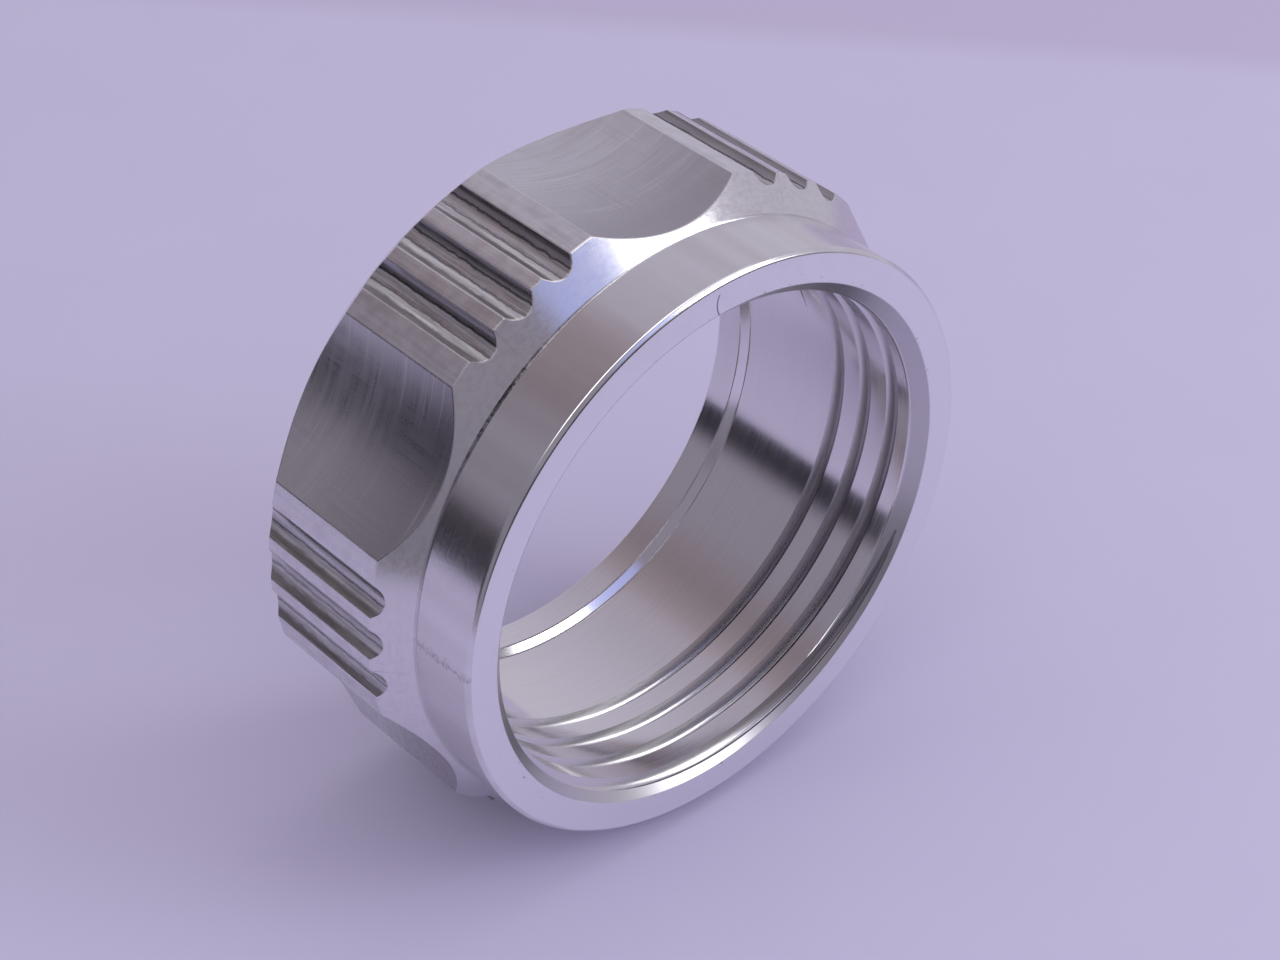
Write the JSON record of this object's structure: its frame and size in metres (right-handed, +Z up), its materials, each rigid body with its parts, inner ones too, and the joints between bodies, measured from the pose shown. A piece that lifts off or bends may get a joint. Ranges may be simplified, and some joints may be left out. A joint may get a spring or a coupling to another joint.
{
  "type": "threaded lock ring",
  "caption": "Bright aluminium lock ring with an internal right-hand thread at the front, a plain spigot, and a chamfered grip collar with wide scallops and groups of narrow flutes.",
  "frame": {"origin": "on the floor under the middle of the ring, which stands on the two edges of its lowest scallop", "axes": "+Y along the ring's axis from the threaded front face to the rear lip, +Z up through the middle of the top scallop"},
  "size_m": [0.058, 0.024, 0.0562],
  "materials": {
    "turned aluminium": "bright turned and milled"
  },
  "bodies": {
    "root": {"lock_ring": "turned aluminium"}
  },
  "joints": []
}
